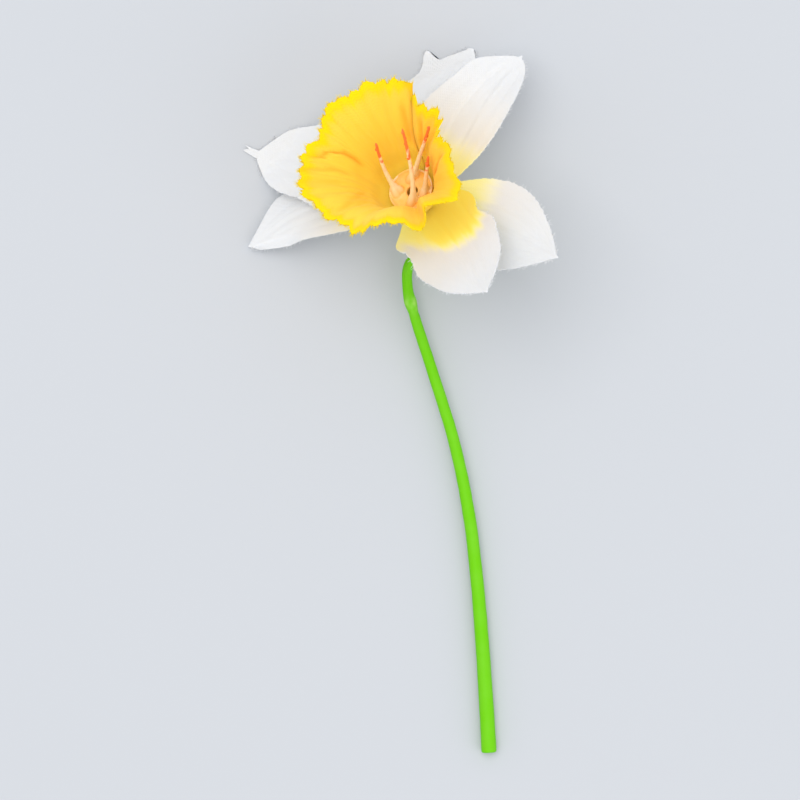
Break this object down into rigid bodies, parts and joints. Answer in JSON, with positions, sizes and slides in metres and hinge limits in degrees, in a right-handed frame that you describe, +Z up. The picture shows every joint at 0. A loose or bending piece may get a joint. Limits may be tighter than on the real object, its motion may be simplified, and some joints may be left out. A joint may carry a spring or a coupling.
{
  "type": "cut daffodil flower lying face up",
  "caption": "A single daffodil flower on its cut stem, lying face up: white petals in two whorls round a deep yellow frilled trumpet with peach stamens, on a bright green stem.",
  "frame": {"origin": "middle of the flower's bounding box, on the surface that it lies on", "axes": "+Y from the cut end of the stem to the flower head, +Z up, +X to the right of the bloom seen from above"},
  "size_m": [0.074, 0.1751, 0.0599],
  "materials": {
    "petal_fabric": "fine woven polyester, white with a yellow base",
    "trumpet_fabric": "fine woven polyester, golden yellow, frayed rim",
    "stamen_plastic": "soft moulded plastic, peach with orange tips",
    "calyx_plastic": "moulded plastic, mid green",
    "collar_plastic": "moulded plastic, pale straw green",
    "stem_plastic": "satin plastic over wire, bright green"
  },
  "bodies": {
    "root": {"stem": "stem_plastic", "collar": "collar_plastic", "calyx": "calyx_plastic", "petal_front_left": "petal_fabric", "petal_front_low": "petal_fabric", "petal_front_top": "petal_fabric", "petal_back_left": "petal_fabric", "petal_back_low": "petal_fabric", "petal_back_top": "petal_fabric", "trumpet": "trumpet_fabric", "stamens": "stamen_plastic"}
  },
  "joints": []
}
